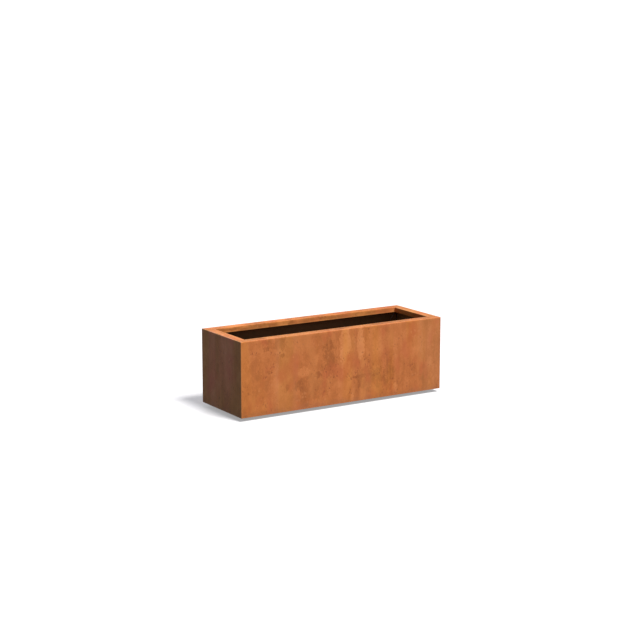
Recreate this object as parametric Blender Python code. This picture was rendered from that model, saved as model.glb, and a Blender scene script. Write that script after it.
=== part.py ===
"""Weathering-steel planter box: four folded wall panels with a double-folded rim, a drained base tray on
three cross channels, a tie between the long walls, and six levelling feet. Metres, +Z up, +X along the
length, +Y to the rear. The origin is on the ground, under the middle of the box."""

import math

import bmesh
import bpy
import numpy as np

# Overall size. The walls stop short of the ground, and the feet make up the rest.
LENGTH = 1.200
WIDTH = 0.400
HEIGHT = 0.400
GROUND_GAP = 0.018

# Folded sheet
SHEET = 0.002
FOLD_RADIUS = 0.0028
INNER_FOLD = 0.001
FOLD_STEPS = 4
RIM_WIDTH = 0.050
LIP_DEPTH = 0.025
GAP = 0.0003

# Base tray and its cross channels
TRAY_HEIGHT = 0.022
TRAY_TOP = 0.060
DRAIN_DIAMETER = 0.020
DRAIN_COLUMNS = 4
DRAIN_SPACING = 0.240
DRAIN_Y = 0.060
CHANNEL_WIDTH = 0.060
CHANNEL_SHEET = 0.0025
CHANNEL_DEPTH = 0.035
CHANNEL_SPACING = 0.480

# Tie between the long walls
BRACE_WIDTH = 0.040
BRACE_SHEET = 0.003
BRACE_TOP = 0.240
BRACE_TAB = 0.045

# Levelling feet: M10 stud, drawn as a plain shank at its pitch diameter
FOOT_Y = 0.100
STUD_RADIUS = 0.0045
STUD_TOP = 0.046
STUD_POINT = 0.0012
NUT_ACROSS_FLATS = 0.017
NUT_HEIGHT = 0.008
NUT_CHAMFER = 0.0008
DRIVE_ACROSS_FLATS = 0.014
DRIVE_BOTTOM = 0.0095
DRIVE_HEIGHT = 0.004
HEAD_RADIUS = 0.0060
HEAD_BOTTOM = 0.0033
HEAD_HEIGHT = 0.0035
NECK_RADIUS = 0.0036
PAD_RADIUS = 0.020
PAD_EDGE = 0.0040
PAD_ROUNDING = 0.0005
PAD_BOSS_RADIUS = 0.0105
PAD_BOSS_FOOT = 0.0060
PAD_HEIGHT = 0.0090
SOCKET_FLOOR = 0.0030
ROUND_STEPS = 24
SHARP_DEGREES = 30
MERGE_DISTANCE = 1e-6

TRAY_BOTTOM = TRAY_TOP - TRAY_HEIGHT
TRAY_UNDERSIDE = TRAY_TOP - SHEET
CHANNEL_TOP = TRAY_UNDERSIDE - GAP
CHANNEL_BOTTOM = CHANNEL_TOP - CHANNEL_DEPTH
WEB_TOP = CHANNEL_BOTTOM + CHANNEL_SHEET
NUT_BOTTOM = WEB_TOP + GAP


def clear_scene():
    for obj in list(bpy.data.objects):
        bpy.data.objects.remove(obj, do_unlink=True)


def principled(name, colour, roughness, metallic):
    material = bpy.data.materials.new(name)
    material.use_nodes = True
    shader = material.node_tree.nodes["Principled BSDF"]
    shader.inputs["Base Color"].default_value = (*colour, 1)
    shader.inputs["Roughness"].default_value = roughness
    shader.inputs["Metallic"].default_value = metallic
    material.diffuse_color = (*colour, 1)
    return material


def rusted_steel(name):
    return principled(name, (0.50, 0.165, 0.055), 0.85, 0.0)


def coated_steel(name):
    return principled(name, (0.020, 0.016, 0.014), 0.55, 0.0)


def zinc_steel(name):
    return principled(name, (0.55, 0.56, 0.58), 0.35, 0.9)


def black_plastic(name):
    return principled(name, (0.025, 0.025, 0.027), 0.65, 0.0)


def add_object(name, mesh, material, location=(0, 0, 0), turn=0, parent=None):
    obj = bpy.data.objects.new(name, mesh)
    bpy.context.scene.collection.objects.link(obj)
    obj.location = location
    obj.rotation_euler = (0, 0, turn)
    obj.parent = parent
    if material:
        mesh.materials.append(material)
    return obj


def mesh_of(name, bm):
    bmesh.ops.recalc_face_normals(bm, faces=bm.faces)
    mesh = bpy.data.meshes.new(name)
    bm.to_mesh(mesh)
    bm.free()
    return mesh


def arc(centre, radius, start, end):
    """Points along an arc, in degrees counted counter-clockwise, ends included."""
    angles = np.radians(np.linspace(start, end, FOLD_STEPS + 1))
    return [(centre[0] + radius * math.cos(a), centre[1] + radius * math.sin(a)) for a in angles]


def folded_outline(path, thickness, radius):
    """Closed outline of a folded sheet. The path is its outer side, with square corners that all turn
    right, and the sheet lies on the path's right. Every corner gets an outer and an inner arc."""
    outer = [path[0]]
    inner = []
    for before, corner, after in zip(path, path[1:], path[2:]):
        come = np.sign(np.subtract(corner, before).round(9))
        go = np.sign(np.subtract(after, corner).round(9))
        centre = np.add(corner, radius * (go - come))
        start = math.degrees(math.atan2(-go[1], -go[0]))
        outer += arc(centre, radius, start, start - 90)
        inner += arc(centre, radius - thickness, start, start - 90)
    first = np.sign(np.subtract(path[1], path[0]).round(9))
    last = np.sign(np.subtract(path[-1], path[-2]).round(9))
    outer.append(path[-1])
    inner.append(tuple(np.add(path[-1], thickness * np.array((last[1], -last[0])))))
    inner.insert(0, tuple(np.add(path[0], thickness * np.array((first[1], -first[0])))))
    return outer + inner[::-1]


def extruded(name, outline, half_length):
    """A prism along X whose section in Y and Z is the outline. half_length(y) gives where it ends, so an
    end can be mitred."""
    bm = bmesh.new()
    near = [bm.verts.new((-half_length(y), y, z)) for y, z in outline]
    far = [bm.verts.new((half_length(y), y, z)) for y, z in outline]
    ends = [bm.faces.new(near), bm.faces.new(far)]
    bmesh.ops.bridge_loops(bm, edges=[edge for face in ends for edge in face.edges])
    return mesh_of(name, bm)


def wall_panel(name, width, setback, turn):
    """A wall with its rim and lip, mitred at both ends to meet its neighbours at 45 degrees. It is drawn
    as the front wall, whose outer face is at -setback in Y, and turned about the box's middle."""
    path = [(0, GROUND_GAP), (0, HEIGHT), (RIM_WIDTH, HEIGHT), (RIM_WIDTH, HEIGHT - LIP_DEPTH)]
    outline = [(depth - setback, z) for depth, z in folded_outline(path, SHEET, FOLD_RADIUS)]
    mesh = extruded(name, outline, lambda y: width / 2 - (y + setback) - GAP / 2)
    return add_object(name, mesh, rusted_steel(name), turn=turn)


def wall_panels():
    wall_panel("front_panel", LENGTH, WIDTH / 2, 0)
    wall_panel("rear_panel", LENGTH, WIDTH / 2, math.pi)
    wall_panel("left_end_panel", WIDTH, LENGTH / 2, -math.pi / 2)
    wall_panel("right_end_panel", WIDTH, LENGTH / 2, math.pi / 2)


def cutter(name, radius, places, bottom, top):
    """Hidden upright cylinders that drill one hole at each place."""
    bm = bmesh.new()
    for x, y in places:
        made = bmesh.ops.create_cone(bm, cap_ends=True, segments=ROUND_STEPS,
                                     radius1=radius, radius2=radius, depth=top - bottom)
        bmesh.ops.translate(bm, verts=made["verts"], vec=(x, y, (top + bottom) / 2))
    obj = add_object(name, mesh_of(name, bm), None)
    obj.hide_render = True
    obj.display_type = "WIRE"
    return obj


def drill(obj, tool):
    tool.location = obj.location
    cut = obj.modifiers.new("Drill", "BOOLEAN")
    cut.operation = "DIFFERENCE"
    cut.solver = "EXACT"
    cut.object = tool


def base_tray():
    """A sheet tray turned upside down: its edges fold down and are welded to the walls."""
    name = "base_tray"
    inset = SHEET + GAP
    bm = bmesh.new()
    bmesh.ops.create_cube(bm, size=1)
    size = (LENGTH - 2 * inset, WIDTH - 2 * inset, TRAY_HEIGHT)
    bmesh.ops.scale(bm, verts=bm.verts, vec=size)
    bmesh.ops.translate(bm, verts=bm.verts, vec=(0, 0, TRAY_TOP - TRAY_HEIGHT / 2))
    under = [face for face in bm.faces if face.normal.z < -0.5]
    bmesh.ops.delete(bm, geom=under, context="FACES_ONLY")
    folds = [edge for edge in bm.edges if edge.verts[0].co.z == edge.verts[1].co.z and not edge.is_boundary]
    bmesh.ops.bevel(bm, geom=folds, offset=FOLD_RADIUS, segments=FOLD_STEPS, affect="EDGES", profile=0.5)
    tray = add_object(name, mesh_of(name, bm), rusted_steel(name))
    wall = tray.modifiers.new("Sheet", "SOLIDIFY")
    wall.thickness = SHEET
    wall.offset = -1
    wall.use_even_offset = True
    first = -DRAIN_SPACING * (DRAIN_COLUMNS - 1) / 2
    columns = [first + DRAIN_SPACING * number for number in range(DRAIN_COLUMNS)]
    places = [(x, y) for x in columns for y in (-DRAIN_Y, DRAIN_Y)]
    drill(tray, cutter("drain_cutter", DRAIN_DIAMETER / 2, places, TRAY_BOTTOM, TRAY_TOP + SHEET))


def base_channel(name, x):
    """A channel across the box, open upwards, with a clearance hole for the stud of each foot."""
    half = CHANNEL_WIDTH / 2
    path = [(half, CHANNEL_TOP), (half, CHANNEL_BOTTOM), (-half, CHANNEL_BOTTOM), (-half, CHANNEL_TOP)]
    outline = folded_outline(path, CHANNEL_SHEET, CHANNEL_SHEET + INNER_FOLD)
    reach = WIDTH / 2 - 2 * (SHEET + GAP)
    mesh = extruded(name, outline, lambda y: reach)
    channel = add_object(name, mesh, rusted_steel(name), (x, 0, 0), math.pi / 2)
    places = [(0, -FOOT_Y), (0, FOOT_Y)]
    hole = cutter(name + "_cutter", STUD_RADIUS + 2 * GAP, places, CHANNEL_BOTTOM - SHEET, WEB_TOP + SHEET)
    drill(channel, hole)


def cross_brace():
    """A flat tie with both ends turned down against the long walls."""
    name = "cross_brace"
    reach = WIDTH / 2 - SHEET - GAP
    foot = BRACE_TOP - BRACE_TAB
    path = [(-reach, foot), (-reach, BRACE_TOP), (reach, BRACE_TOP), (reach, foot)]
    outline = folded_outline(path, BRACE_SHEET, BRACE_SHEET + INNER_FOLD)
    add_object(name, extruded(name, outline, lambda y: BRACE_WIDTH / 2), coated_steel(name))


def smoothed(mesh):
    """Round sides shaded smooth, with the edges between them left sharp."""
    mesh.shade_smooth()
    mesh.set_sharp_from_angle(angle=math.radians(SHARP_DEGREES))
    return mesh


def turned(name, profile):
    """A closed turned solid. The profile is (radius, height) points down its outer side, from the axis
    or from a bore, and closes on itself."""
    bm = bmesh.new()
    points = [bm.verts.new((radius, 0, z)) for radius, z in profile]
    closed = profile[0][0] > 0
    pairs = list(zip(points, points[1:])) + ([(points[-1], points[0])] if closed else [])
    edges = [bm.edges.new(pair) for pair in pairs]
    bmesh.ops.spin(bm, geom=points + edges, cent=(0, 0, 0), axis=(0, 0, 1), angle=2 * math.pi,
                   steps=ROUND_STEPS, use_merge=True)
    bmesh.ops.remove_doubles(bm, verts=bm.verts, dist=MERGE_DISTANCE)
    return smoothed(mesh_of(name, bm))


def hexagon(bm, across_flats, bottom, top):
    made = bmesh.ops.create_cone(bm, cap_ends=True, segments=6, depth=top - bottom,
                                 radius1=across_flats / math.sqrt(3), radius2=across_flats / math.sqrt(3))
    bmesh.ops.translate(bm, verts=made["verts"], vec=(0, 0, (top + bottom) / 2))


def applied(obj):
    """The object's mesh with its modifiers worked in."""
    graph = bpy.context.evaluated_depsgraph_get()
    return bpy.data.meshes.new_from_object(obj.evaluated_get(graph))


def joined(name, mesh, other, operation):
    """One mesh from two by a Boolean, worked in at once so that copies can share the result."""
    first = add_object(name + "_body", mesh, None)
    second = add_object(name + "_tool", other, None)
    step = first.modifiers.new("Join", "BOOLEAN")
    step.operation = operation
    step.solver = "EXACT"
    step.object = second
    result = smoothed(applied(first))
    bpy.data.objects.remove(first)
    bpy.data.objects.remove(second)
    return result


def nut_mesh():
    """A hexagonal nut: its corners are turned off at the top, and its bore clears the stud."""
    bm = bmesh.new()
    hexagon(bm, NUT_ACROSS_FLATS, NUT_BOTTOM, NUT_BOTTOM + NUT_HEIGHT)
    top = NUT_BOTTOM + NUT_HEIGHT
    bore = STUD_RADIUS + GAP
    flat = NUT_ACROSS_FLATS / 2
    corner = NUT_ACROSS_FLATS / math.sqrt(3) + GAP
    under = NUT_BOTTOM - GAP
    profile = [(bore, top + GAP), (flat, top + GAP), (flat, top), (corner, top - NUT_CHAMFER),
               (corner, under), (bore, under)]
    return joined("nut", mesh_of("nut_hexagon", bm), turned("nut_limit", profile), "INTERSECT")


def stud_mesh():
    """A threaded stud: ball head, neck, hexagonal drive and pointed shank."""
    middle = DRIVE_BOTTOM + DRIVE_HEIGHT / 2
    head_top = HEAD_BOTTOM + HEAD_HEIGHT
    round_off = HEAD_HEIGHT / 4
    head_flat = HEAD_RADIUS - round_off
    profile = [(0, STUD_TOP), (STUD_RADIUS - STUD_POINT, STUD_TOP), (STUD_RADIUS, STUD_TOP - STUD_POINT),
               (STUD_RADIUS, middle), (NECK_RADIUS, middle), (NECK_RADIUS, head_top), (head_flat, head_top),
               (HEAD_RADIUS, head_top - round_off), (HEAD_RADIUS, HEAD_BOTTOM + round_off),
               (head_flat, HEAD_BOTTOM), (0, HEAD_BOTTOM)]
    bm = bmesh.new()
    hexagon(bm, DRIVE_ACROSS_FLATS, DRIVE_BOTTOM, DRIVE_BOTTOM + DRIVE_HEIGHT)
    return joined("stud", turned("stud_shank", profile), mesh_of("stud_drive", bm), "UNION")


def pad_mesh():
    """A round pad with a sloping top and a socket whose rim keeps the stud's head in."""
    socket_radius = HEAD_RADIUS + GAP
    socket_top = HEAD_BOTTOM + HEAD_HEIGHT + GAP
    mouth = NECK_RADIUS + 2 * GAP
    inside = PAD_RADIUS - PAD_ROUNDING
    boss_inside = PAD_BOSS_RADIUS - PAD_ROUNDING
    profile = [(mouth, PAD_HEIGHT), (boss_inside, PAD_HEIGHT), (PAD_BOSS_RADIUS, PAD_HEIGHT - PAD_ROUNDING),
               (PAD_BOSS_RADIUS + PAD_ROUNDING, PAD_BOSS_FOOT), (inside, PAD_EDGE),
               (PAD_RADIUS, PAD_EDGE - PAD_ROUNDING), (PAD_RADIUS, PAD_ROUNDING), (inside, 0), (0, 0),
               (0, SOCKET_FLOOR), (socket_radius, SOCKET_FLOOR), (socket_radius, socket_top),
               (mouth, socket_top)]
    return turned("pad", profile)


def levelling_foot(number, x, y, nut, stud, pad):
    """One foot. The pad slides along the foot's axis, and the stud also turns about it."""
    axis = bpy.data.objects.new(f"foot_axis_{number}", None)
    bpy.context.scene.collection.objects.link(axis)
    axis.location = (x, y, 0)
    add_object(f"weld_nut_{number}", nut, None, parent=axis)
    add_object(f"levelling_stud_{number}", stud, None, parent=axis)
    add_object(f"foot_pad_{number}", pad, None, parent=axis)


def levelling_feet():
    nut = nut_mesh()
    stud = stud_mesh()
    pad = pad_mesh()
    nut.materials.append(rusted_steel("weld_nut"))
    stud.materials.append(zinc_steel("levelling_stud"))
    pad.materials.append(black_plastic("foot_pad"))
    places = [(x, y) for y in (-FOOT_Y, FOOT_Y) for x in (-CHANNEL_SPACING, 0, CHANNEL_SPACING)]
    for number, (x, y) in enumerate(places, start=1):
        levelling_foot(number, x, y, nut, stud, pad)


def main():
    clear_scene()
    wall_panels()
    base_tray()
    base_channel("base_channel_left", -CHANNEL_SPACING)
    base_channel("base_channel_middle", 0)
    base_channel("base_channel_right", CHANNEL_SPACING)
    cross_brace()
    levelling_feet()


main()
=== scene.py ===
import math

import bmesh
import bpy
import numpy as np
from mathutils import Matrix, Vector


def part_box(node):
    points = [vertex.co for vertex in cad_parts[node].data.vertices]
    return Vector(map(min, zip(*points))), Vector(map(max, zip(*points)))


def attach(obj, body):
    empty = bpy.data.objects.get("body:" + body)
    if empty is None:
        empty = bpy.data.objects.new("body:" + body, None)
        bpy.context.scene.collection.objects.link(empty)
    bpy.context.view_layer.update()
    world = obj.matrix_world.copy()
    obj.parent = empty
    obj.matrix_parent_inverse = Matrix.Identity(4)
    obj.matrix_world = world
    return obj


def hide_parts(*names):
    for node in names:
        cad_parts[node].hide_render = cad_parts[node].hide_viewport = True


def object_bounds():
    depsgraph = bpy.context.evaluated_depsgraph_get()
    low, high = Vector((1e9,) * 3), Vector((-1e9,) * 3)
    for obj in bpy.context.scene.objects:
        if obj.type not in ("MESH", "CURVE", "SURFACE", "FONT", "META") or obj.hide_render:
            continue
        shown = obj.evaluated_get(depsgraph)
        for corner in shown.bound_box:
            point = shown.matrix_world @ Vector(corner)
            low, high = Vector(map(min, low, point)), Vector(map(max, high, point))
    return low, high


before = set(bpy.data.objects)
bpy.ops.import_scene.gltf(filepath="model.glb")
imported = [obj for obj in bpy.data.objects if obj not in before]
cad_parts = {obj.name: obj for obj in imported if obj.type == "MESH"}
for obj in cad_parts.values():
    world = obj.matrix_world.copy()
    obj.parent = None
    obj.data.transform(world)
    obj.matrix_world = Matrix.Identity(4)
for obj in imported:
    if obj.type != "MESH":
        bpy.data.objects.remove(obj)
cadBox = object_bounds()
print("frame loaded:", len(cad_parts), "nodes")

halfLength, halfWidth, rimHeight = cadBox[1]
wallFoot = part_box("front_panel")[0].z
sheet = 0.002  # wall thickness
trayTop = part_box("base_tray")[1].z
feet = range(1, 7)
bothSides = (-1, 1)
plainWhite = (1.0, 1.0, 1.0)


# camera: stands in front and to the left, a little above the rim
view = {"azimuth": -32.043, "elevation": 11.084, "distance": 8.4456, "lens": 94.33,
        "lookAt": (-0.0503, 0.0, 0.4451), "sensor": 36, "farthest": 3000}


# the camera stands at lookAt plus distance times the backward direction, which azimuth turns about the
# upright and elevation lifts, and it faces the other way
def placeCamera():
    camera = bpy.data.cameras.new("camera")
    camera.lens = view["lens"]
    camera.sensor_width = view["sensor"]
    camera.clip_end = view["farthest"]
    holder = bpy.data.objects.new("camera", camera)
    bpy.context.scene.collection.objects.link(holder)
    turn, rise = math.radians(view["azimuth"]), math.radians(view["elevation"])
    back = np.array((math.sin(turn) * math.cos(rise), -math.cos(turn) * math.cos(rise), math.sin(rise)))
    holder.location = np.array(view["lookAt"]) + view["distance"] * back
    holder.rotation_euler = (math.pi / 2 - rise, 0, turn)
    bpy.context.scene.camera = holder


# light directions are the way the light travels
studio = {"sunTravel": (-0.135, 0.56, -1.0), "sunPower": 4.55, "sunAngle": 16.0, "sunColour": (1.0, 0.97, 0.93),
          "backTravel": (-0.35, -1.0, -0.40), "backPower": 0.8, "backAngle": 40.0,
          "surround": (0.88, 1.0, 1.28), "surroundPower": 0.17, "sheenPower": 0.39,
          "floorColour": (0.58, 0.58, 0.60), "floorGlow": 0.33, "floorRough": 0.9, "floorSize": 1600.0,
          "floorDepth": 0.0002, "underBand": (0.03, 0.17), "underShade": (0.10, 0.10, 0.105)}


# a sun tipped from straight down by the angle of its travel, then turned to the heading of its travel
def addSun(name, travel, power, angle, colour):
    lamp = bpy.data.lights.new(name, "SUN")
    lamp.energy = power
    lamp.angle = math.radians(angle)
    lamp.color = colour
    holder = bpy.data.objects.new(name, lamp)
    bpy.context.scene.collection.objects.link(holder)
    x, y, z = travel
    holder.rotation_euler = (math.atan2(math.hypot(x, y), -z), 0, math.atan2(-x, y))


# two suns, and a dim surround that polished faces see brighter and the camera sees white
def placeLights():
    addSun("keySun", studio["sunTravel"], studio["sunPower"], studio["sunAngle"], studio["sunColour"])
    addSun("backSun", studio["backTravel"], studio["backPower"], studio["backAngle"], plainWhite)
    world = bpy.data.worlds.new("studio")
    bpy.context.scene.world = world
    world.use_nodes = True
    net = Net(world.node_tree)
    seen, glossy = net.make("ShaderNodeLightPath", out=("Is Camera Ray", "Is Glossy Ray"))
    dim, sheen = (net.make("ShaderNodeBackground", {}, {"Color": studio["surround"], "Strength": studio[power]})
                  for power in ("surroundPower", "sheenPower"))
    white = net.make("ShaderNodeBackground", {}, {"Color": plainWhite, "Strength": 1.0})
    around = net.make("ShaderNodeMixShader", {}, {0: glossy, 1: dim, 2: sheen})
    whole = net.make("ShaderNodeMixShader", {}, {0: seen, 1: around, 2: white})
    net.make("ShaderNodeOutputWorld", {}, {"Surface": whole})
    bpy.context.scene.view_settings.view_transform = "Standard"


# one large pale square a hair under the pads. It glows a little, so that only the shadow on it is grey, and it
# glows less under the box, the more so the farther in from the nearest wall: painted shade under the box.
def layFloor():
    half, depth = studio["floorSize"] / 2, -studio["floorDepth"]
    mesh = bpy.data.meshes.new("floor")
    corners = [(-half, -half, depth), (half, -half, depth), (half, half, depth), (-half, half, depth)]
    mesh.from_pydata(corners, [], [(0, 1, 2, 3)])
    floor = bpy.data.objects.new("floor", mesh)
    bpy.context.scene.collection.objects.link(floor)
    material, net = startMaterial("paleFloor")
    _, x, y, _ = net.place()
    fromWall = net.math("MINIMUM", halfLength - net.math("ABSOLUTE", x), halfWidth - net.math("ABSOLUTE", y))
    # painted shade: the glow dims under the box, the more the farther in from the walls
    glow = net.mix(net.band(fromWall, *studio["underBand"]), plainWhite, studio["underShade"])
    finishMaterial(net, {"Base Color": studio["floorColour"], "Roughness": studio["floorRough"],
                         "Emission Color": glow, "Emission Strength": studio["floorGlow"]})
    mesh.materials.append(material)
    floor.visible_diffuse = False  # the ground stays white without tinting the shaded side


# a socket that adds, multiplies and so on as numbers do, each time through one math node
class Wire:
    def __init__(self, net, socket):
        self.net = net
        self.socket = socket

    def __add__(self, other): return self.net.math("ADD", self, other)
    def __radd__(self, other): return self.net.math("ADD", other, self)
    def __sub__(self, other): return self.net.math("SUBTRACT", self, other)
    def __rsub__(self, other): return self.net.math("SUBTRACT", other, self)
    def __mul__(self, other): return self.net.math("MULTIPLY", self, other)
    def __rmul__(self, other): return self.net.math("MULTIPLY", other, self)
    def __truediv__(self, other): return self.net.math("DIVIDE", self, other)
    def __rtruediv__(self, other): return self.net.math("DIVIDE", other, self)
    def __pow__(self, other): return self.net.math("POWER", self, other)
    def __rpow__(self, other): return self.net.math("POWER", other, self)


seedSteps = (7.31, 3.77, 5.13)  # how far apart along each axis one noise starts from the next


# a node tree, emptied, and the nodes that the materials and the world are made of
class Net:
    def __init__(self, tree):
        self.tree = tree
        tree.nodes.clear()

    # any node: its settings first, then the values or links of its sockets; gives its outputs back
    def make(self, kind, settings=None, sockets=None, out=0):
        node = self.tree.nodes.new(kind)
        for name, value in (settings or {}).items():
            if name == "stops":
                self.setRamp(node.color_ramp, value)
            else:
                setattr(node, name, value)
        for name, value in (sockets or {}).items():
            socket = node.inputs[name]
            if isinstance(value, Wire):
                self.tree.links.new(value.socket, socket)
            else:
                socket.default_value = (*value, 1) if socket.type == "RGBA" else value
        if isinstance(out, tuple):
            return [Wire(self, node.outputs[each]) for each in out]
        return Wire(self, node.outputs[out]) if node.outputs else None

    def setRamp(self, ramp, stops):
        while len(ramp.elements) < len(stops):
            ramp.elements.new(0.5)
        for element, (place, colour) in zip(ramp.elements, stops):
            element.position = place
            element.color = (*colour, 1)

    def math(self, operation, *values):
        return self.make("ShaderNodeMath", {"operation": operation}, dict(enumerate(values)))

    def vector(self, operation, *values):
        return self.make("ShaderNodeVectorMath", {"operation": operation}, dict(enumerate(values)))

    # 0 below start, 1 above end, smooth between them
    def band(self, value, start, end):
        return self.make("ShaderNodeMapRange", {"interpolation_type": "SMOOTHSTEP", "clamp": True},
                         {"Value": value, "From Min": start, "From Max": end, "To Min": 0.0, "To Max": 1.0})

    # noise with its own number of waves per metre along each axis
    def noise(self, place, waves, seed, detail=2.0, roughness=0.5):
        spread = self.vector("MULTIPLY", place, waves)
        moved = self.vector("ADD", spread, tuple(seed * step for step in seedSteps))
        return self.make("ShaderNodeTexNoise", {"noise_dimensions": "3D"},
                         {"Vector": moved, "Scale": 1.0, "Detail": detail, "Roughness": roughness})

    # one noise for each name in a table of their values
    def noises(self, place, table):
        return {name: self.noise(place, *values) for name, values in table.items()}

    # a band times its share
    def mark(self, value, start, end, share):
        return self.band(value, start, end) * share

    # distance to the nearest of many scattered points, with its own number of cells per metre
    def cells(self, place, perMetre):
        spread = self.vector("MULTIPLY", place, perMetre)
        return self.make("ShaderNodeTexVoronoi", {"feature": "F1"}, {"Vector": spread, "Scale": 1.0},
                         out="Distance")

    def mix(self, factor, first, second, blend="MIX"):
        return self.make("ShaderNodeMix", {"data_type": "RGBA", "blend_type": blend},
                         {0: factor, 6: first, 7: second}, out=2)

    def attribute(self, name):
        return self.make("ShaderNodeAttribute", {"attribute_name": name}, out="Fac")

    # object coordinates, and their three parts
    def place(self):
        whole = self.make("ShaderNodeTexCoord", out="Object")
        return whole, *self.make("ShaderNodeSeparateXYZ", {}, {0: whole}, out=(0, 1, 2))


# a material with an empty node tree
def startMaterial(name):
    material = bpy.data.materials.new(name)
    material.use_nodes = True
    return material, Net(material.node_tree)


# the surface shader with the given sockets, joined to the output
def finishMaterial(net, sockets):
    shader = net.make("ShaderNodeBsdfPrincipled", {}, sockets)
    net.make("ShaderNodeOutputMaterial", {}, {"Surface": shader})


# small relief: height times distance in metres
def bump(net, height, distance):
    return net.make("ShaderNodeBump", {}, {"Strength": 1.0, "Distance": distance, "Height": height})


# rusted steel: its colours
rust = {"deep": (0.37, 0.104, 0.020), "dark": (0.435, 0.131, 0.026), "middle": (0.545, 0.165, 0.036),
        "light": (0.66, 0.220, 0.056), "bright": (0.73, 0.262, 0.072),
        "yellow": (0.65, 0.232, 0.056), "pink": (0.54, 0.131, 0.034), "pale": (1.0, 1.13, 1.36),
        "fleck": (0.25, 0.058, 0.016), "edge": (0.72, 0.27, 0.085), "damp": (0.34, 0.12, 0.045),
        "coatDark": (0.265, 0.135, 0.048), "coatLight": (0.315, 0.158, 0.057), "paintedHighlight": (0.42, 0.34, 0.36)}
rampPlaces = {"deep": 0.0, "dark": 0.25, "middle": 0.50, "light": 0.80, "bright": 1.0}

# each noise: waves per metre along each axis, its own number, detail, roughness
rustNoises = {"blotch": ((9, 9, 7), 1, 2.0, 0.55), "cloud": ((30, 30, 17), 2, 3.0, 0.6),
              "mottle": ((95, 95, 60), 3, 3.0, 0.65), "speck": ((260, 260, 200), 16, 2.0, 0.6),
              "grain": ((650, 650, 650), 4, 2.0, 0.6), "run": ((55, 55, 3.0), 5, 2.0, 0.6),
              "wideRun": ((18, 18, 1.6), 6, 1.0, 0.5), "crust": ((24, 24, 16), 14, 4.0, 0.65),
              "yellow": ((14, 14, 5), 7, 2.0, 0.5), "pink": ((10, 10, 7), 8, 2.0, 0.5),
              "fleckGroups": ((16, 16, 14), 9, 2.0, 0.5), "crumbGroups": ((13, 13, 11), 15, 2.0, 0.5)}
toneWeights = {"blotch": 0.65, "cloud": 0.45, "mottle": 0.40, "speck": 0.25, "grain": 0.35}

# each mark: where it begins and is full on its noise, and its share of the colour
marks = {"crust": (0.49, 0.54, 0.10), "yellow": (0.50, 0.70, 0.40), "pink": (0.50, 0.70, 0.65),
         "rubbed": (0.30, 0.60, 0.50), "seam": (0.35, 0.65, 0.12)}

# scattered marks: cells per metre, how far from each point they fade, where their groups begin and are
# full, and their share of the colour
scatter = {"fleck": {"cells": (72, 72, 50), "fade": (0.10, 0.34), "groups": (0.49, 0.66), "share": 0.60},
           "crumb": {"cells": (52, 52, 44), "fade": (0.06, 0.30), "groups": (0.50, 0.66), "share": 0.45}}

# how ragged an outline is by two noises, and by how much less on the rim, the pale areas and the painted
# highlight
ragged = {"cloud": 2.8, "mottle": 3.2, "rim": 0.6, "pale": 0.5, "paintedHighlight": 0.3, "fray": 0.9}
patchEdge = (0.35, 1.25)

rustFinish = {"runFloor": 0.25, "dampHeight": 0.032, "dampWander": 0.05, "dampShare": 0.35,
              "bandEdge": (0.40, 0.60), "rimSpared": 0.8, "lipBand": (0.006, 0.002),
              "coatRagged": 0.5, "coatEdge": (0.4, 0.6), "coatClouds": (0.35, 0.7), "rough": 0.80,
              "roughVaries": 0.25, "coatRough": 0.50, "coatVaries": 0.3, "grainRelief": 0.35,
              "mottleRelief": 0.45, "fleckRelief": 0.4, "coatRelief": 0.6, "specular": 0.4, "depth": 0.0004}


# soft ellipses on a wall, each (x, z, half width, half height, strength): strength inside, 0 outside,
# with the outline moved about by the given noise
def patchwork(net, x, z, wander, patches):
    total = 0.0
    for middle, level, halfAcross, halfUp, strength in patches:
        reach = ((x - middle) / halfAcross) ** 2 + ((z - level) / halfUp) ** 2 + wander
        total = (1 - net.band(reach, *patchEdge)) * strength + total
    return total


# 1 close to a scattered point and 0 away from it, with a frayed outline, times the band of its groups
def scattered(net, place, frayed, groups, kind):
    spots = 1 - net.band(net.cells(place, kind["cells"]) + frayed, *kind["fade"])
    return spots * net.band(groups, *kind["groups"])


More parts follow.
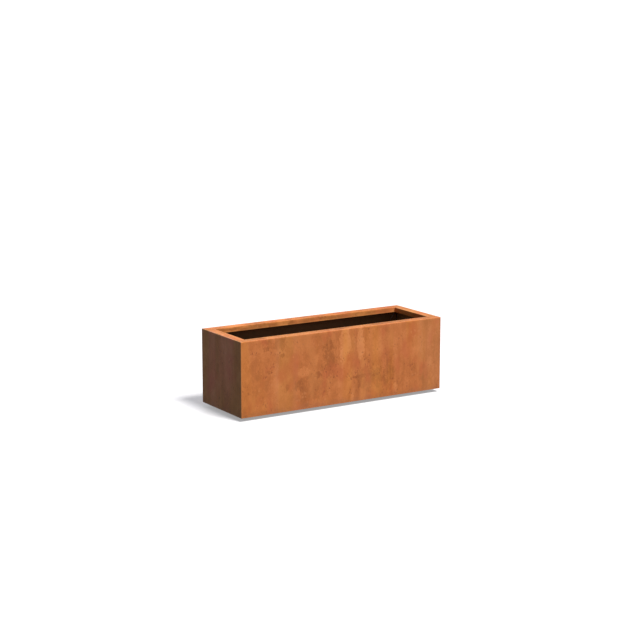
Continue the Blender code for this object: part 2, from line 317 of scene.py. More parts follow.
# tone is 0.5 plus noises of several sizes, each less its middle value and weighted, plus upright runs and
# patches. A ramp turns it into five rust colours; hues, flecks, crumbs, rubbed edges, damp, slow bands and
# the inside coating are then mixed over in turn.
def rustedSteel(name, look):
    material, net = startMaterial(name)
    place, x, _, z = net.place()
    noise = net.noises(place, rustNoises)
    cloud, mottle, speck = noise["cloud"], noise["mottle"], noise["speck"]
    rolled = net.noise(place, look["rolled"], 10, 2.0, 0.6)
    rim = net.attribute("rim")
    onWall = 1 - rim
    wander = (cloud - 0.5) * ragged["cloud"] + (mottle - 0.5) * ragged["mottle"]

    tone = 0.5 + sum((noise[key] - 0.5) * weight for key, weight in toneWeights.items())
    *crustBand, crustShare = marks["crust"]
    tone = tone + (net.band(noise["crust"], *crustBand) - 0.5) * crustShare
    drawn = net.band(x, *look["runsFrom"]) * (1 - rustFinish["runFloor"]) + rustFinish["runFloor"]
    tone = tone + (noise["run"] + noise["wideRun"] - 1) * look["runs"] * drawn * onWall
    tone = tone + ((rolled - 0.5) * look["rimStreaks"] + look["rimTone"]) * rim
    if look["patches"]:
        tone = tone + patchwork(net, x, z, wander, look["patches"]) * onWall
    if look["rimPatches"]:
        tone = tone + patchwork(net, x, z, wander * ragged["rim"], look["rimPatches"]) * rim
    stops = [(at, rust[key]) for key, at in rampPlaces.items()]
    colour = net.make("ShaderNodeValToRGB", {"stops": stops}, {"Fac": tone})

    # three slow changes of hue
    for key in ("yellow", "pink"):
        colour = net.mix(net.mark(noise[key], *marks[key]), colour, rust[key])
    if look["pale"]:
        pale = patchwork(net, x, z, wander * ragged["pale"], look["pale"]) * onWall
        colour = net.mix(pale, colour, rust["pale"], "MULTIPLY")

    # small dark flecks in loose groups, and pale crumbs in other groups
    frayed = (mottle - 0.5) * ragged["fray"] + (speck - 0.5) * ragged["fray"]
    flecks = scattered(net, place, frayed, noise["fleckGroups"], scatter["fleck"])
    colour = net.mix(flecks * scatter["fleck"]["share"], colour, rust["fleck"])
    crumbs = scattered(net, place, frayed, noise["crumbGroups"], scatter["crumb"])
    colour = net.mix(crumbs * scatter["crumb"]["share"], colour, rust["edge"])

    # folds and cut edges are rubbed lighter, and the welded corners keep a faint darker line
    wear, seam = net.attribute("fold"), net.attribute("seam")
    colour = net.mix(wear * net.mark(mottle, *marks["rubbed"]), colour, rust["edge"])
    colour = net.mix(seam * net.mark(cloud, *marks["seam"]), colour, rust["fleck"])

    # the foot of the wall stays damp and goes darker
    dampTop = wallFoot + rustFinish["dampHeight"]
    damp = 1 - net.band(z + (cloud - 0.5) * rustFinish["dampWander"], wallFoot, dampTop)
    colour = net.mix(damp * rustFinish["dampShare"], colour, rust["damp"])

    # slow bands across the wall, then the tints of the rim and of its lip; on the left end the strongly blue
    # band tints also paint the cool shade of that shaded side
    band = net.band(net.noise(place, look["bandWaves"], 12, 1.0), *rustFinish["bandEdge"])
    colour = net.mix(1 - rim * rustFinish["rimSpared"], colour, net.mix(band, *look["bands"]), "MULTIPLY")
    colour = net.mix(rim, colour, look["rimTint"], "MULTIPLY")
    lip = rim * (1 - net.band(z, *(rimHeight - below for below in rustFinish["lipBand"])))
    colour = net.mix(lip, colour, look["lipTint"], "MULTIPLY")

    # dark coating on the inside, with a ragged edge
    coated = net.attribute("coated") + (mottle - 0.5) * rustFinish["coatRagged"]
    coat = net.band(coated, *rustFinish["coatEdge"])
    coatTone = net.band(cloud * 0.6 + noise["blotch"] * 0.4, *rustFinish["coatClouds"])
    coatColour = net.mix(coatTone, rust["coatDark"], rust["coatLight"])
    # painted highlight: a thin pale slanted streak mixed into the inside coating
    if look["scuffs"]:
        paintedHighlight = patchwork(net, x + z * look["scuffSlope"], z, wander * ragged["paintedHighlight"], look["scuffs"])
        coatColour = net.mix(paintedHighlight, coatColour, rust["paintedHighlight"])
    colour = net.mix(coat, colour, coatColour)

    bareRough = rustFinish["rough"] + (mottle - 0.5) * rustFinish["roughVaries"]
    coatRough = rustFinish["coatRough"] + (cloud - 0.5) * rustFinish["coatVaries"]
    bareRelief = (noise["grain"] * rustFinish["grainRelief"] + mottle * rustFinish["mottleRelief"]
                  - flecks * rustFinish["fleckRelief"])
    relief = bareRelief * (1 - coat) + cloud * coat * rustFinish["coatRelief"]
    finishMaterial(net, {"Base Color": colour, "Roughness": bareRough * (1 - coat) + coatRough * coat,
                         "Specular IOR Level": rustFinish["specular"],
                         "Normal": bump(net, relief, rustFinish["depth"])})
    return material


# dark coating on the steel inside: smooth soft hills, and dusty rust that settles in slow patches
coating = {"dark": (0.045, 0.026, 0.017), "light": (0.085, 0.048, 0.029), "dust": (0.26, 0.105, 0.045),
           "rustDark": (0.20, 0.060, 0.020), "rustLight": (0.36, 0.11, 0.032), "cloudBand": (0.35, 0.65),
           "dustBand": (0.50, 0.66), "dustShare": 0.45, "edge": 0.0006, "rough": 0.48, "dustRough": 0.35,
           "bareRough": 0.3, "specular": 0.4, "depth": 0.0004}
coatingNoises = {"cloud": ((26, 26, 26), 1, 3.0, 0.6), "fine": ((260, 260, 260), 2, 2.0, 0.6),
                 "slow": ((7, 7, 7), 3, 2.0, 0.5)}


# dust lies where slow and fine noise together are high; below the height upperFrom the steel is bare rust
def coatedSteel(name, upperFrom):
    material, net = startMaterial(name)
    place, _, _, z = net.place()
    noise = net.noises(place, coatingNoises)
    cloud, fine = noise["cloud"], noise["fine"]
    clouds = net.band(cloud, *coating["cloudBand"])
    colour = net.mix(clouds, coating["dark"], coating["light"])
    dust = net.band(noise["slow"] * 0.6 + fine * 0.4, *coating["dustBand"])
    colour = net.mix(dust * coating["dustShare"], colour, coating["dust"])
    edge = coating["edge"]
    bare = 1 - net.band(z + (fine - 0.5) * edge, upperFrom, upperFrom + edge)
    colour = net.mix(bare, colour, net.mix(clouds, coating["rustDark"], coating["rustLight"]))
    rough = coating["rough"] + dust * coating["dustRough"] + bare * coating["bareRough"]
    finishMaterial(net, {"Base Color": colour, "Roughness": rough, "Specular IOR Level": coating["specular"],
                         "Normal": bump(net, cloud * 0.6 + fine * 0.4, coating["depth"])})
    return material


# zinc plating: crystals of slightly different grey, a darker grey painted as shade in the thread's roots, which
# are also rougher, brown where the key wears it
zinc = {"bright": (0.62, 0.63, 0.65), "darkGreyAndShade": (0.36, 0.37, 0.39), "stain": (0.30, 0.15, 0.075),
        "crystals": 900.0, "rootShadeShare": 0.6, "stainBand": (0.56, 0.68), "stainShare": 0.7,
        "stainDulls": 0.6, "rough": 0.34, "cloudRough": 0.14, "rootRough": 0.2, "stainRough": 0.2,
        "depth": 0.00006}
zincNoises = {"cloud": ((180, 180, 180), 1, 2.0), "turned": ((60, 60, 2600), 2, 1.0),
              "stain": ((90, 90, 120), 3, 2.0)}


# each crystal takes one grey from its own random number, and stains sit where a slow noise is high
def zincPlate(name):
    material, net = startMaterial(name)
    place = net.place()[0]
    noise = net.noises(place, zincNoises)
    cloud, root = noise["cloud"], net.attribute("root")
    cells = net.make("ShaderNodeTexVoronoi", {"feature": "F1"}, {"Vector": place, "Scale": zinc["crystals"]},
                     out="Color")
    crystals = net.make("ShaderNodeSeparateColor", {}, {0: cells})
    grey = net.mix(crystals * 0.5 + cloud * 0.5, zinc["darkGreyAndShade"], zinc["bright"])
    # painted shade: the thread's roots are mixed towards the darker grey
    grey = net.mix(root * zinc["rootShadeShare"], grey, zinc["darkGreyAndShade"])
    stain = net.band(noise["stain"], *zinc["stainBand"])
    colour = net.mix(stain * zinc["stainShare"], grey, zinc["stain"])
    rough = (zinc["rough"] + cloud * zinc["cloudRough"] + root * zinc["rootRough"]
             + stain * zinc["stainRough"])
    finishMaterial(net, {"Base Color": colour, "Metallic": 1 - stain * zinc["stainDulls"], "Roughness": rough,
                         "Normal": bump(net, noise["turned"] * 0.3 + cloud * 0.7, zinc["depth"])})
    return material


plastic = {"dark": (0.020, 0.020, 0.022), "light": (0.034, 0.034, 0.036), "dust": (0.24, 0.20, 0.17),
           "dustBand": (0.50, 0.68), "dustHeight": (0.001, 0.007), "dustShare": 0.6, "rough": 0.50,
           "sparkRough": 0.1, "dustRough": 0.25, "depth": 0.00005}
plasticNoises = {"cloud": ((120, 120, 120), 1, 2.0), "spark": ((1900, 1900, 1900), 2, 2.0),
                 "dust": ((70, 70, 240), 3, 2.0)}


# near-black with a fine sparkle; dust gathers on the lowest few millimetres
def mouldedPlastic(name):
    material, net = startMaterial(name)
    place, _, _, z = net.place()
    noise = net.noises(place, plasticNoises)
    dusty = net.band(noise["dust"], *plastic["dustBand"]) * (1 - net.band(z, *plastic["dustHeight"]))
    colour = net.mix(noise["cloud"], plastic["dark"], plastic["light"])
    colour = net.mix(dusty * plastic["dustShare"], colour, plastic["dust"])
    rough = plastic["rough"] + noise["spark"] * plastic["sparkRough"] + dusty * plastic["dustRough"]
    finishMaterial(net, {"Base Color": colour, "Roughness": rough,
                         "Normal": bump(net, noise["spark"], plastic["depth"])})
    return material


# points of a folded sheet's outer side, and their inward normals: straight runs of about the given step, and
# at each corner a quarter circle, whose points are its centre less radius times the turned normal
def foldedPath(corners, radius, step, foldSteps):
    corners = np.array(corners, float)
    runs = np.diff(corners, axis=0)
    lengths = np.linalg.norm(runs, axis=1)
    along = runs / lengths[:, None]
    inward = np.stack([along[:, 1], -along[:, 0]], 1)
    points, normals = [], []
    for i, length in enumerate(lengths):
        start = radius if i else 0.0
        end = length - (radius if i < len(lengths) - 1 else 0.0)
        count = max(2, int(round((end - start) / step)) + 1)
        spread = np.linspace(start, end, count)
        points.append(corners[i] + along[i] * spread[:, None])
        normals.append(np.repeat(inward[i][None], count, 0))
        if i < len(lengths) - 1:
            centre = corners[i + 1] + radius * (along[i + 1] - along[i])
            angle = np.linspace(0, math.pi / 2, foldSteps + 1)[1:-1, None]
            turned = inward[i] * np.cos(angle) + inward[i + 1] * np.sin(angle)
            points.append(centre - radius * turned)
            normals.append(turned)
    return np.concatenate(points), np.concatenate(normals)


# numbers of a grid's points, and its faces: point j of one ring, j + 1, and the same two of the next ring
def gridFaces(count, size, first=0):
    index = np.arange(count * size).reshape(count, size) + first
    around = np.roll(index, -1, axis=1)
    return index, np.stack([index[:-1], around[:-1], around[1:], index[1:]], -1).reshape(-1, 4)


# closed grid of rings to a mesh: rings[i, j] is point j of ring i. A cap closes an end across its sheet, by
# joining point j to the one as far from the ring's end.
def ringMesh(name, rings, attributes, capped=True):
    count, size = rings.shape[:2]
    index, faces = gridFaces(count, size)
    if capped:
        near = np.arange(size // 2 - 1)
        far = size - 1 - near
        cap = np.stack([near, far, far - 1, near + 1], -1)
        faces = np.concatenate([faces, index[0][cap], index[-1][cap[:, ::-1]]])
    mesh = bpy.data.meshes.new(name)
    mesh.from_pydata(rings.reshape(-1, 3), [], faces.tolist())
    for key, values in attributes.items():
        layer = mesh.attributes.new(key, "FLOAT", "POINT")
        layer.data.foreach_set("value", np.asarray(values, np.float32).ravel())
    return cleaned(mesh, wall["sharp"])


tidiness = {"merged": 2e-6, "flat": 1e-7}


# merges doubled points, drops faces without area, turns every face outward and marks as sharp each edge
# that bends by more than the given angle
def cleaned(mesh, sharp):
    net = bmesh.new()
    net.from_mesh(mesh)
    bmesh.ops.remove_doubles(net, verts=net.verts, dist=tidiness["merged"])
    bmesh.ops.dissolve_degenerate(net, edges=net.edges, dist=tidiness["flat"])
    bmesh.ops.recalc_face_normals(net, faces=net.faces)
    if net.calc_volume(signed=True) < 0:
        bmesh.ops.reverse_faces(net, faces=net.faces)
    net.to_mesh(mesh)
    net.free()
    mesh.shade_smooth()
    mesh.set_sharp_from_angle(angle=math.radians(sharp))
    return mesh


# puts a mesh in the scene as a piece that rides on a body, and takes the place of the nodes it replaces
def addPiece(name, mesh, material, body="planter", replaced=()):
    piece = bpy.data.objects.new(name, mesh)
    bpy.context.scene.collection.objects.link(piece)
    mesh.materials.clear()
    mesh.materials.append(material)
    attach(piece, body)
    if replaced:
        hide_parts(*replaced)


# the four folded walls; wear and seam are how fast rubbing and darkening fall away, in metres
wall = {"foldRadius": 0.0026, "foldSteps": 6, "cornerRadius": 0.0018, "rim": 0.050, "lip": 0.025, "step": 0.008,
        "stations": 150, "crowding": 1.25, "cornerAngles": (15.0, 30.0, 45.0), "bow": 0.0006, "rimBow": 0.4,
        "edgeRound": 0.0004, "endClear": 0.05, "endFade": 0.15, "foldClear": 0.01, "foldFade": 0.12,
        "rimFade": 0.02, "wear": 0.003, "tipWear": 0.002, "tipFrom": 0.04, "seam": 0.004, "rimEdge": 0.002,
        "sharp": 32}


# slow unevenness of rolled sheet: 0.5 plus a quarter of three crossed sine waves, so between 0 and 1
def sheetWave(across, up, seed):
    waves = np.sin(across * 5.1 + seed) * np.sin(up * 8.3 + seed * 2.0)
    waves += 0.6 * np.sin(across * 11.7 + seed * 3.0 + up * 4.0)
    waves += 0.4 * np.sin(across * 3.3 - up * 14.0 + seed * 5.0)
    return 0.5 + waves / 4.0


# the folded outline carried along the wall: a point lies at along times its run plus inward times its depth
# less the setback, and the ends shorten by the depth, which makes the mitre. The attributes fall away from
# folds, cut edges and corners as exp of minus the distance over a few millimetres.
def foldedWall(name, halfSpan, setback, along, inward, seed, material, replaced):
    outer = [(0, wallFoot), (0, rimHeight), (wall["rim"], rimHeight), (wall["rim"], rimHeight - wall["lip"])]
    path, normal = foldedPath(outer, wall["foldRadius"], wall["step"], wall["foldSteps"])
    skin, inner = path.copy(), path + normal * sheet
    # both cut edges hang down: there the skins stop short, and a last pair of points, drawn together, is
    # set at the edge, so that the edge has no sharp corners
    small = wall["edgeRound"]
    cut = [0, -1]
    skinTips, innerTips = skin[cut] + normal[cut] * small, inner[cut] - normal[cut] * small
    skin[cut, 1] += small
    inner[cut, 1] += small
    skin = np.vstack([skinTips[:1], skin, skinTips[1:]])
    inner = np.vstack([innerTips[:1], inner, innerTips[1:]])
    ring = np.concatenate([skin, inner[::-1]])
    depth, height = ring[:, 0], ring[:, 1]

    # along the wall: straight, then an eighth of a circle at each end, so that two walls meet on the mitre
    radius = wall["cornerRadius"]
    straight = np.linspace(-1, 1, wall["stations"])
    straight = np.sign(straight) * (1 - (1 - np.abs(straight)) ** wall["crowding"])
    reach = halfSpan - np.maximum(radius, depth)
    rounding = np.maximum(radius - depth, 0)
    angle = np.radians(np.array(wall["cornerAngles"]))[:, None]
    body = straight[:, None] * reach
    ends = reach + rounding * np.sin(angle)
    run = np.concatenate([-ends[::-1], body, ends])
    sink = rounding * (1 - np.cos(angle))
    sunk = np.concatenate([sink[::-1], np.zeros_like(body), sink])
    deep = depth + sunk
    tall = np.repeat(height[None], len(run), 0)

    # the unevenness dies out towards the corners and the rim's fold, so that the walls still meet
    fromEnd = np.clip((halfSpan - np.abs(run) - wall["endClear"]) / wall["endFade"], 0, 1)
    fromFold = np.clip((rimHeight - wall["foldClear"] - tall) / wall["foldFade"], 0, 1)
    onFace = depth < 2 * sheet
    wave = sheetWave(run, tall, seed) * fromEnd ** 2 * fromFold
    deep = deep + np.where(onFace, wave * wall["bow"], 0)
    lift = sheetWave(run, deep * 4, seed + 2) * fromEnd ** 2 * np.clip(deep / wall["rimFade"], 0, 1)
    tall = tall - np.where(onFace, 0, lift * wall["bow"] * wall["rimBow"])

    along, inward = np.array(along, float), np.array(inward, float)
    rings = np.empty((*run.shape, 3))
    rings[..., 0] = run * along[0] + (deep - setback) * inward[0]
    rings[..., 1] = run * along[1] + (deep - setback) * inward[1]
    rings[..., 2] = tall

    top = np.exp(-np.abs(height - rimHeight) / wall["wear"]) * onFace
    lipFold = np.exp(-np.hypot(depth - wall["rim"], height - rimHeight) / wall["wear"])
    tip = np.exp(-np.abs(height - (rimHeight - wall["lip"])) / wall["tipWear"]) * (depth > wall["tipFrom"])
    foot = np.exp(-np.abs(height - wallFoot) / wall["wear"])
    fold = np.clip(top + lipFold + tip + foot, 0, 1)
    corner = np.exp(-np.clip(halfSpan - np.abs(run) - np.maximum(depth, 0), 0, 1) / wall["seam"])
    coated = np.concatenate([np.zeros(len(skin)), np.ones(len(inner))])
    rim = np.clip((depth - 2 * sheet) / wall["rimEdge"], 0, 1)
    attributes = {"fold": np.clip(fold[None] + corner * onFace, 0, 1), "seam": corner,
                  "coated": np.repeat(coated[None], len(run), 0), "rim": np.repeat(rim[None], len(run), 0)}
    addPiece(name, ringMesh(name, rings, attributes), material, replaced=replaced)


# what sets one wall's rust apart from another's; patches, pale and painted highlights as patchwork takes them,
# and the runs grow over the stretch of x that runsFrom gives
common = {"runs": 0.45, "runsFrom": (-3, -2), "rolled": (7, 42, 42), "rimTone": -0.10, "rimStreaks": 1.7,
          "rimTint": plainWhite, "lipTint": plainWhite, "patches": (), "rimPatches": (), "pale": (),
          "scuffs": (), "bandWaves": (13, 13, 1.2), "bands": (plainWhite, plainWhite)}
looks = {
    "front": {"runs": 0.34, "runsFrom": (-0.20, 0.10), "rimTone": -0.26, "rimStreaks": 2.2,
              "rimTint": (0.91, 1.01, 0.97), "bands": ((1.0, 0.99, 1.12), (1.0, 1.01, 0.90)),
              "rimPatches": ((-0.370, 0.39, 0.110, 0.05, 0.26), (-0.470, 0.39, 0.020, 0.05, -0.30),
                             (-0.050, 0.39, 0.060, 0.05, -0.22), (0.120, 0.39, 0.070, 0.05, 0.24)),
              "pale": ((-0.345, 0.20, 0.070, 0.50, 0.60), (0.560, 0.20, 0.095, 0.50, 0.75)),
              "patches": (
                  (0.005, 0.290, 0.034, 0.130, 0.56),   # two light runs from the rim down
                  (0.100, 0.320, 0.024, 0.090, 0.48),
                  (0.000, 0.130, 0.045, 0.110, 0.24),
                  (-0.085, 0.250, 0.042, 0.110, -0.30),  # duller band beside them
                  (-0.100, 0.365, 0.012, 0.045, -0.22),
                  (-0.190, 0.130, 0.075, 0.070, -0.16),
                  (-0.240, 0.206, 0.038, 0.028, 0.34),  # light spot with a dark foot
                  (-0.270, 0.150, 0.024, 0.034, -0.22),
                  (-0.157, 0.183, 0.018, 0.018, -0.40),
                  (0.145, 0.145, 0.095, 0.010, -0.30),  # a row of short marks over a dark patch
                  (0.150, 0.130, 0.080, 0.065, -0.30),
                  (0.270, 0.130, 0.034, 0.090, -0.24),
                  (0.190, 0.310, 0.075, 0.085, 0.24),
                  (0.440, 0.300, 0.120, 0.085, 0.20),
                  (0.310, 0.055, 0.018, 0.030, 0.36),
                  (0.047, 0.050, 0.014, 0.034, 0.30),
                  (-0.380, 0.150, 0.065, 0.100, 0.14),
                  (-0.400, 0.370, 0.070, 0.034, -0.20),
                  (-0.575, 0.330, 0.040, 0.080, 0.22),
                  (-0.458, 0.350, 0.016, 0.014, -0.30),  # single dark spots
                  (-0.367, 0.305, 0.016, 0.013, -0.34),
                  (-0.436, 0.233, 0.018, 0.014, -0.40),
                  (-0.333, 0.144, 0.012, 0.018, -0.30),
                  (0.490, 0.150, 0.016, 0.016, -0.26))},
    "rear": {"rimTone": -0.14, "rimStreaks": 2.6, "rimTint": (1.0, 1.0, 0.88), "lipTint": (1.05, 1.17, 1.35),
             "rimPatches": ((-0.151, 0.393, 0.040, 0.030, 0.34), (-0.095, 0.384, 0.030, 0.014, -0.55),
                            (-0.285, 0.385, 0.070, 0.016, -0.32), (-0.018, 0.390, 0.040, 0.040, -0.22),
                            (0.230, 0.390, 0.060, 0.050, -0.18), (-0.430, 0.390, 0.080, 0.030, 0.18)),
             # a thin pale slanted streak on the inside of the rear wall, near its right end: a painted
             # highlight
             "scuffs": ((0.320, 0.347, 0.0030, 0.024, 0.9),), "scuffSlope": -0.725},
    # painted shade: the left end's strongly blue band tints stand for the cool shade of that shaded side
    "leftEnd": {"rolled": (42, 7, 42), "rimTone": 0.06, "rimTint": (1.0, 0.99, 0.88),
                "bandWaves": (9, 9, 1.4), "bands": ((0.91, 1.13, 2.25), (0.71, 0.99, 1.35))},
    "rightEnd": {"rolled": (42, 7, 42), "rimTone": -0.05, "rimTint": (0.97, 1.09, 1.10),
                 "lipTint": (1.08, 0.97, 0.60), "bands": ((0.96, 1.02, 1.16), (1.0, 1.04, 1.0))},
    "underside": {"runs": 0.30, "rolled": (42, 7, 42), "rimTone": 0.0,
                  "bands": ((0.62, 0.62, 0.66), (0.78, 0.76, 0.74))}}


# each wall runs along one direction of the plan and folds inwards along the other
def buildWalls():
    steel = {key: rustedSteel("rustedSteel_" + key, common | look) for key, look in looks.items()}
    foldedWall("frontWall", halfLength, halfWidth, (1, 0), (0, 1), 0.3, steel["front"], ["front_panel"])
    foldedWall("rearWall", halfLength, halfWidth, (-1, 0), (0, -1), 1.9, steel["rear"], ["rear_panel"])
    foldedWall("leftEndWall", halfWidth, halfLength, (0, -1), (1, 0), 3.1, steel["leftEnd"], ["left_end_panel"])
    foldedWall("rightEndWall", halfWidth, halfLength, (0, 1), (-1, 0), 4.6, steel["rightEnd"],
               ["right_end_panel"])
    return steel


# weld beads
weld = {"corner": 0.0026, "stitch": 0.0021, "nut": 0.0015, "columns": 12, "ripple": 0.13, "pitch": 0.0026,
        "waver": 0.06, "step": 0.0007, "sharp": 60, "inset": 0.0013, "cornerEnd": 0.001, "length": 0.038,
        "lift": 0.0002, "stitches": 7, "lastStitch": 0.50, "endStitch": 0.11, "braceInset": 0.0008,
        "braceEnds": (0.004, 0.006), "channelInset": 0.001, "channelEnds": (0.004, 0.005),
        "nutRing": 0.0096, "nutSteps": 61}


# a bead along a line of points: a round section whose radius swells once per ripple and closes at both
# ends as a half ball does. A closed loop keeps its full radius all the way.
def beadRings(points, radius, closed=False):
    points = np.asarray(points, float)
    tangent = np.gradient(points, axis=0)
    if closed:
        tangent[0] = tangent[-1] = points[1] - points[-2]
    tangent /= np.linalg.norm(tangent, axis=1)[:, None]
    helper = np.array((0.31, 0.17, 0.93)) if abs(tangent[0, 2]) < 0.9 else np.array((1.0, 0.13, 0.0))
    if closed:
        helper = np.array((0.0, 0.0, 1.0))
    side = np.cross(tangent, helper)
    side /= np.linalg.norm(side, axis=1)[:, None]
    up = np.cross(side, tangent)
    way = np.concatenate([[0], np.cumsum(np.linalg.norm(np.diff(points, axis=0), axis=1))])
    phase = (way / weld["pitch"]) % 1
    width = radius * (1 + weld["ripple"] * (phase - 0.5))
    width *= 1 + weld["waver"] * np.sin(way * 61 + points[0, 0] * 40)
    if not closed:
        fromEnd = np.clip(np.minimum(way, way[-1] - way) / radius, 0, 1)
        width *= np.sqrt(np.clip(1 - (1 - fromEnd) ** 2, 0, 1))
    angle = np.linspace(0, 2 * math.pi, weld["columns"], endpoint=False)
    ring = np.cos(angle)[None, :, None] * side[:, None] + np.sin(angle)[None, :, None] * up[:, None]
    return points[:, None] + width[:, None, None] * ring


# evenly spaced points from start to end, about one to each step
def beadLine(start, end):
    start, end = np.array(start, float), np.array(end, float)
    count = max(8, int(np.linalg.norm(end - start) / weld["step"]))
    return start + (end - start) * np.linspace(0, 1, count)[:, None]


# one upright bead at each place of the plan
def uprightLines(places, low, high):
    return [beadLine((x, y, low), (x, y, high)) for x, y in places]


# several separate beads as one mesh
def beadMesh(name, lines, radius, closed=False):
    allPoints, allFaces, used = [], [], 0
    for line in lines:
        rings = beadRings(line, radius, closed)
        allFaces.append(gridFaces(*rings.shape[:2], used)[1])
        allPoints.append(rings.reshape(-1, 3))
        used += len(allPoints[-1])
    mesh = bpy.data.meshes.new(name)
    mesh.from_pydata(np.concatenate(allPoints), [], np.concatenate(allFaces).tolist())
    return cleaned(mesh, weld["sharp"])


# beads inside the box in the dark coating, and those under the tray in bare rust
def buildWelds(dark, bare):
    # up the four inside corners, from the tray to just under the rim
    inX, inY = halfLength - sheet - weld["inset"], halfWidth - sheet - weld["inset"]
    corners = [(sx * inX, sy * inY) for sx in bothSides for sy in bothSides]
    lines = uprightLines(corners, trayTop + weld["cornerEnd"], rimHeight - sheet - weld["cornerEnd"])
    addPiece("cornerWelds", beadMesh("cornerWelds", lines, weld["corner"]), dark)

    # short stitches round the tray, one to each 0.16 m or so
    half, level, last = weld["length"] / 2, trayTop + weld["lift"], weld["lastStitch"]
    lines = [beadLine((x - half, sy * inY, level), (x + half, sy * inY, level))
             for x in np.linspace(-last, last, weld["stitches"]) for sy in bothSides]
    lines += [beadLine((sx * inX, y - half, level), (sx * inX, y + half, level))
              for y in (-weld["endStitch"], weld["endStitch"]) for sx in bothSides]
    addPiece("trayWelds", beadMesh("trayWelds", lines, weld["stitch"]), dark)

    # down both sides of the cross brace's tabs
    low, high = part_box("cross_brace")
    below, above = weld["braceEnds"]
    tabs = [(x, sy * (high.y - weld["braceInset"])) for x in (low.x, high.x) for sy in bothSides]
    lines = uprightLines(tabs, low.z + below, high.z - above)
    addPiece("braceWelds", beadMesh("braceWelds", lines, weld["stitch"]), dark)

    # where the channels' ends meet the long walls
    lines = []
    below, above = weld["channelEnds"]
    for node in ("base_channel_left", "base_channel_middle", "base_channel_right"):
        low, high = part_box(node)
        ends = [(x, sy * inY) for x in (low.x + weld["channelInset"], high.x - weld["channelInset"])
                for sy in bothSides]
        lines += uprightLines(ends, low.z + below, high.z - above)
    addPiece("channelWelds", beadMesh("channelWelds", lines, weld["corner"]), bare)

    # a ring round the foot of each nut
    turn = np.linspace(0, 2 * math.pi, weld["nutSteps"])
    ring = weld["nutRing"] * np.stack([np.cos(turn), np.sin(turn), turn * 0], -1)
    lines = [ring + middleOf("weld_nut_" + str(number))[:3] for number in feet]
    addPiece("nutWelds", beadMesh("nutWelds", lines, weld["nut"], closed=True), bare)


# levelling feet; every height is measured from the foot of the piece
stud = {"head": 0.0060, "headTop": 0.0035, "neck": 0.0036, "flats": 0.0140, "driveFoot": 0.0062,
        "driveTop": 0.0102, "cornerCut": 0.97, "cornerSlope": 1.73, "threadFrom": 0.0108, "runOut": 0.0012,
        "crest": 0.00475, "root": 0.00412, "pitch": 0.0015, "toothFoot": 0.84, "toothFlank": 0.66,
        "tip": 0.0006, "tipSlope": 1.2, "columns": 48, "headRows": 12, "driveRows": 9, "rowStep": 0.00015,
        "step": 1e-7}
pad = {"radius": 0.020, "edge": 0.0040, "round": 0.0010, "boss": 0.0105, "bossFoot": 0.0060, "top": 0.0090,
       "socket": 0.0063, "floor": 0.0030, "ceiling": 0.0071, "mouth": 0.0042, "soft": 0.0006, "lean": 0.0001,
       "columns": 192, "grooves": 24, "grooveDepth": 0.0005, "grooveFrom": 0.0015, "grooveFade": 0.001}


# the middle of a node in plan, the height of its foot, and how tall it is
def middleOf(node):
    low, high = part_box(node)
    return (low.x + high.x) / 2, (low.y + high.y) / 2, low.z, high.z - low.z


# radius at each height and angle: a flat ball head, a neck, a six-sided drive with turned-down corners, and
# a thread whose crest climbs one pitch per turn, runs out just above the drive and narrows at the tip
def studRadius(height, angle, length):
    half = stud["headTop"] / 2
    head = stud["head"] * np.clip(1 - ((height - half) / half) ** 6, 0, 1) ** 0.25
    side = stud["flats"] / 2 / np.cos(angle % (math.pi / 3) - math.pi / 6)
    fromFace = np.clip(np.minimum(height - stud["driveFoot"], stud["driveTop"] - height), 0, 1)
    drive = np.minimum(side, stud["flats"] / 2 * stud["cornerCut"] + fromFace * stud["cornerSlope"])
    climb = (height / stud["pitch"] - angle / (2 * math.pi)) % 1
    tooth = np.clip((stud["toothFoot"] - np.abs(2 * climb - 1)) / stud["toothFlank"], 0, 1)
    tooth = tooth * np.clip((height - stud["threadFrom"]) / stud["runOut"], 0, 1)
    thread = stud["root"] + (stud["crest"] - stud["root"]) * tooth
    thread = np.minimum(thread, stud["root"] - stud["tip"] + (length - height) * stud["tipSlope"])
    radius = np.where(height < stud["headTop"], np.maximum(head, stud["neck"]), stud["neck"])
    radius = np.where(height >= stud["driveFoot"], drive, radius)
    return np.where(height > stud["driveTop"], thread, radius), tooth


# rows of that radius all round the stud's own axis, closed on a point at both ends; wherever the radius
# jumps, two rows lie one tiny step apart
def buildStud(number, material):
    name = "levelling_stud_" + str(number)
    x, y, foot, length = middleOf(name)
    step, driveFoot, driveTop = stud["step"], stud["driveFoot"], stud["driveTop"]
    rows = np.concatenate([np.linspace(0, stud["headTop"], stud["headRows"]), [stud["headTop"] + 0.00002],
                           [driveFoot - step, driveFoot + step],
                           np.linspace(driveFoot + 0.0002, driveTop - 0.0002, stud["driveRows"]),
                           [driveTop - step, driveTop + step],
                           np.arange(driveTop + 0.0001, length, stud["rowStep"]), [length]])
    angle = np.linspace(0, 2 * math.pi, stud["columns"], endpoint=False)
    height, turn = np.meshgrid(rows, angle, indexing="ij")
    radius, tooth = studRadius(height, turn, length)
    rings = np.stack([x + radius * np.cos(turn), y + radius * np.sin(turn), foot + height], -1)
    under, over = (np.broadcast_to((x, y, level), rings[0].shape) for level in (foot, foot + length))
    rings = np.concatenate([under[None], rings, over[None]])
    root = np.pad(np.where(height > stud["threadFrom"], 1 - tooth, 0), ((1, 1), (0, 0)))
    mesh = ringMesh(name + "_threaded", rings, {"root": root}, capped=False)
    addPiece("threadedStud_" + str(number), mesh, material, "stud_" + str(number), [name])


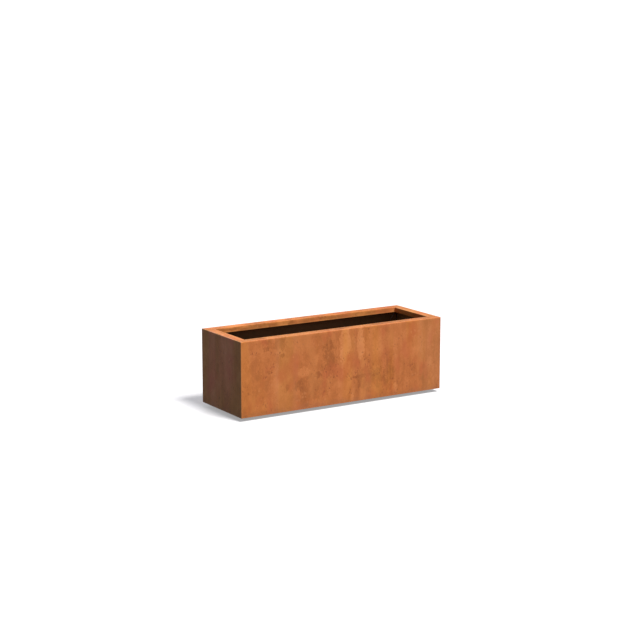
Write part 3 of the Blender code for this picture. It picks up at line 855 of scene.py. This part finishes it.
# the pad is a turned outline, from the middle of its underside out, up and over into the socket; its rim
# is cut by shallow grip grooves, the clipped peaks of a cosine round the pad
def buildPad(number, material):
    name = "foot_pad_" + str(number)
    x, y, foot, _ = middleOf(name)
    bend = np.linspace(0, math.pi / 2, 5)
    r, boss, top, mouth, soft = (pad[key] for key in ("round", "boss", "top", "mouth", "soft"))
    side = boss + pad["lean"]
    flat = [(share * (pad["radius"] - r), 0.0) for share in (0, 0.5, 0.85)]
    lower = [(pad["radius"] - r + r * math.sin(a), r - r * math.cos(a)) for a in bend]
    upper = [(pad["radius"] - r + r * math.cos(a), pad["edge"] - r + r * math.sin(a)) for a in bend]
    crown = [(side + soft, pad["bossFoot"]), (side, pad["bossFoot"] + soft), (boss, top - soft),
             (boss - soft / 3, top - soft / 3), (boss - soft, top), (mouth + soft / 2, top),
             (mouth, top - soft / 2), (mouth, pad["ceiling"]), (pad["socket"], pad["ceiling"]),
             (pad["socket"], pad["floor"]), (0.0, pad["floor"])]
    outline = np.array(flat + lower + upper + crown)
    angle = np.linspace(0, 2 * math.pi, pad["columns"], endpoint=False)
    radius = np.repeat(outline[:, :1], len(angle), 1)
    groove = np.clip(np.cos(angle * pad["grooves"]) * 2 - 0.8, 0, 1)[None] * pad["grooveDepth"]
    radius = radius - groove * np.clip((radius - pad["radius"] + pad["grooveFrom"]) / pad["grooveFade"], 0, 1)
    rings = np.stack([x + radius * np.cos(angle), y + radius * np.sin(angle),
                      np.repeat(outline[:, 1:], len(angle), 1) + foot], -1)
    mesh = ringMesh(name + "_moulded", rings, {}, capped=False)
    addPiece("mouldedPad_" + str(number), mesh, material, "foot_" + str(number), [name])


# frame nodes that stay as they are: a better finish and small rounded edges, as wide as edges says
edges = {"nut": 0.0003, "tray": 0.0004, "brace": 0.0005, "channel": 0.0005, "steps": 2, "above": 40}
trayEdge = 0.0014  # how far below its top the tray is coated


def dress(node, material, edge):
    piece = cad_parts[node]
    piece.data.materials.clear()
    piece.data.materials.append(material)
    rounding = piece.modifiers.new("edges", "BEVEL")
    rounding.width = edge
    rounding.segments = edges["steps"]
    rounding.limit_method = "ANGLE"
    rounding.angle_limit = math.radians(edges["above"])
    rounding.harden_normals = True


# everything in turn; the nuts, the channels and the welds under the tray share the underside's steel
def main():
    placeCamera()
    placeLights()
    layFloor()
    print("camera, lights and floor placed")
    steel = buildWalls()
    print("walls built")
    dark = coatedSteel("coatedSteel", 0.0)
    buildWelds(dark, steel["underside"])
    print("welds laid")
    plated, moulded = zincPlate("zincPlate"), mouldedPlastic("mouldedPlastic")
    for number in feet:
        buildStud(number, plated)
        buildPad(number, moulded)
        dress("weld_nut_" + str(number), steel["underside"], edges["nut"])
    print("feet built")
    dress("base_tray", coatedSteel("coatedTray", trayTop - trayEdge), edges["tray"])
    dress("cross_brace", dark, edges["brace"])
    for side in ("left", "middle", "right"):
        dress("base_channel_" + side, steel["underside"], edges["channel"])
    print("tray, channels and brace dressed")


main()
